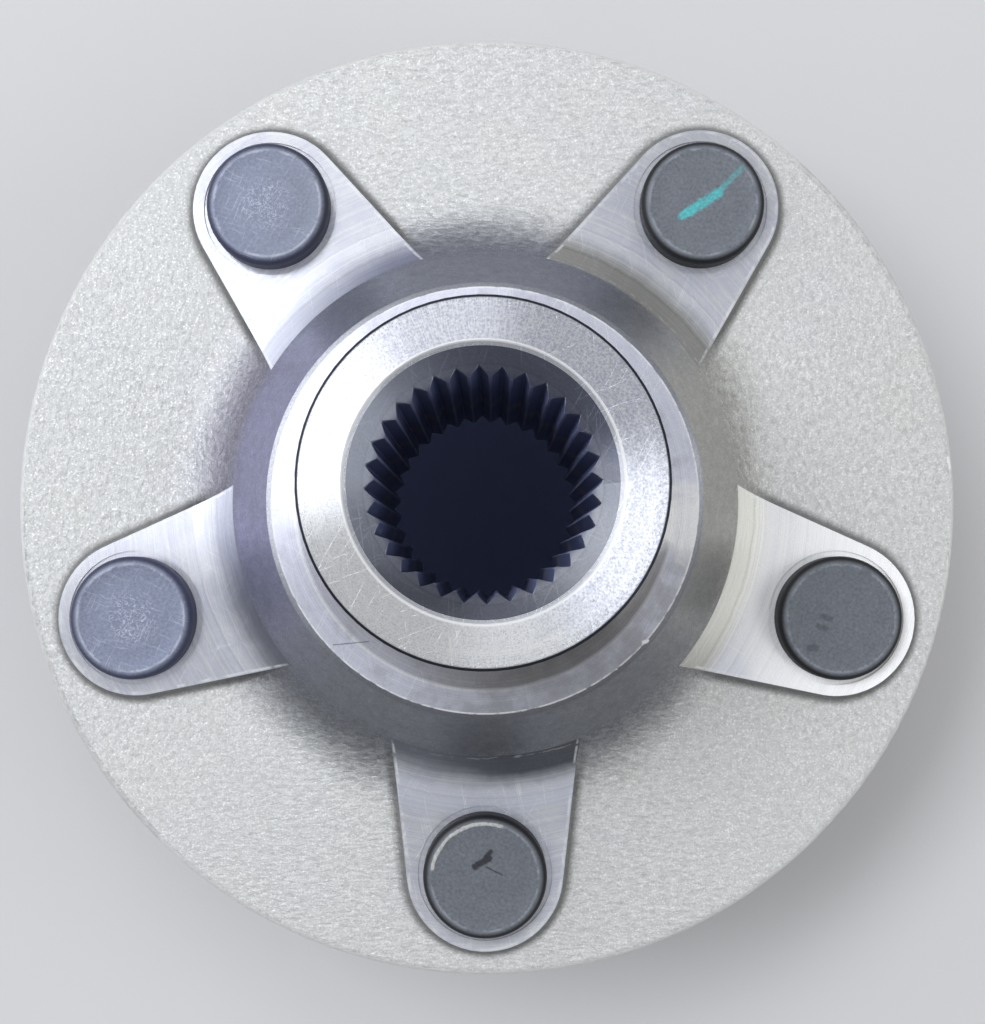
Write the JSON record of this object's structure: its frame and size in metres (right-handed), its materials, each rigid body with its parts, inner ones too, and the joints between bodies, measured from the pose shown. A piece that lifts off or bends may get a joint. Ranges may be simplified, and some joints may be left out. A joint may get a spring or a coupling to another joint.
{
  "type": "wheel hub",
  "caption": "Driven wheel hub with a round flange, pressed-in wheel studs, a bearing spigot and a splined through bore for the drive shaft.",
  "frame": {"origin": "centre of the wheel face, where the hub axis meets the plane the wheel rests on", "axes": "+Z along the hub axis towards the inboard, bearing end; the first stud lies on -Y; studs and wheel pilot point to -Z"},
  "size_m": [0.147, 0.147, 0.1005],
  "materials": {
    "hub_steel": "forged steel, shot-blasted, with bright turned seats and faces",
    "stud_steel": "black phosphate on cold-headed steel"
  },
  "bodies": {
    "root": {"wheel_hub": "hub_steel", "wheel_stud_1": "stud_steel", "wheel_stud_2": "stud_steel", "wheel_stud_3": "stud_steel", "wheel_stud_4": "stud_steel", "wheel_stud_5": "stud_steel"}
  },
  "joints": []
}
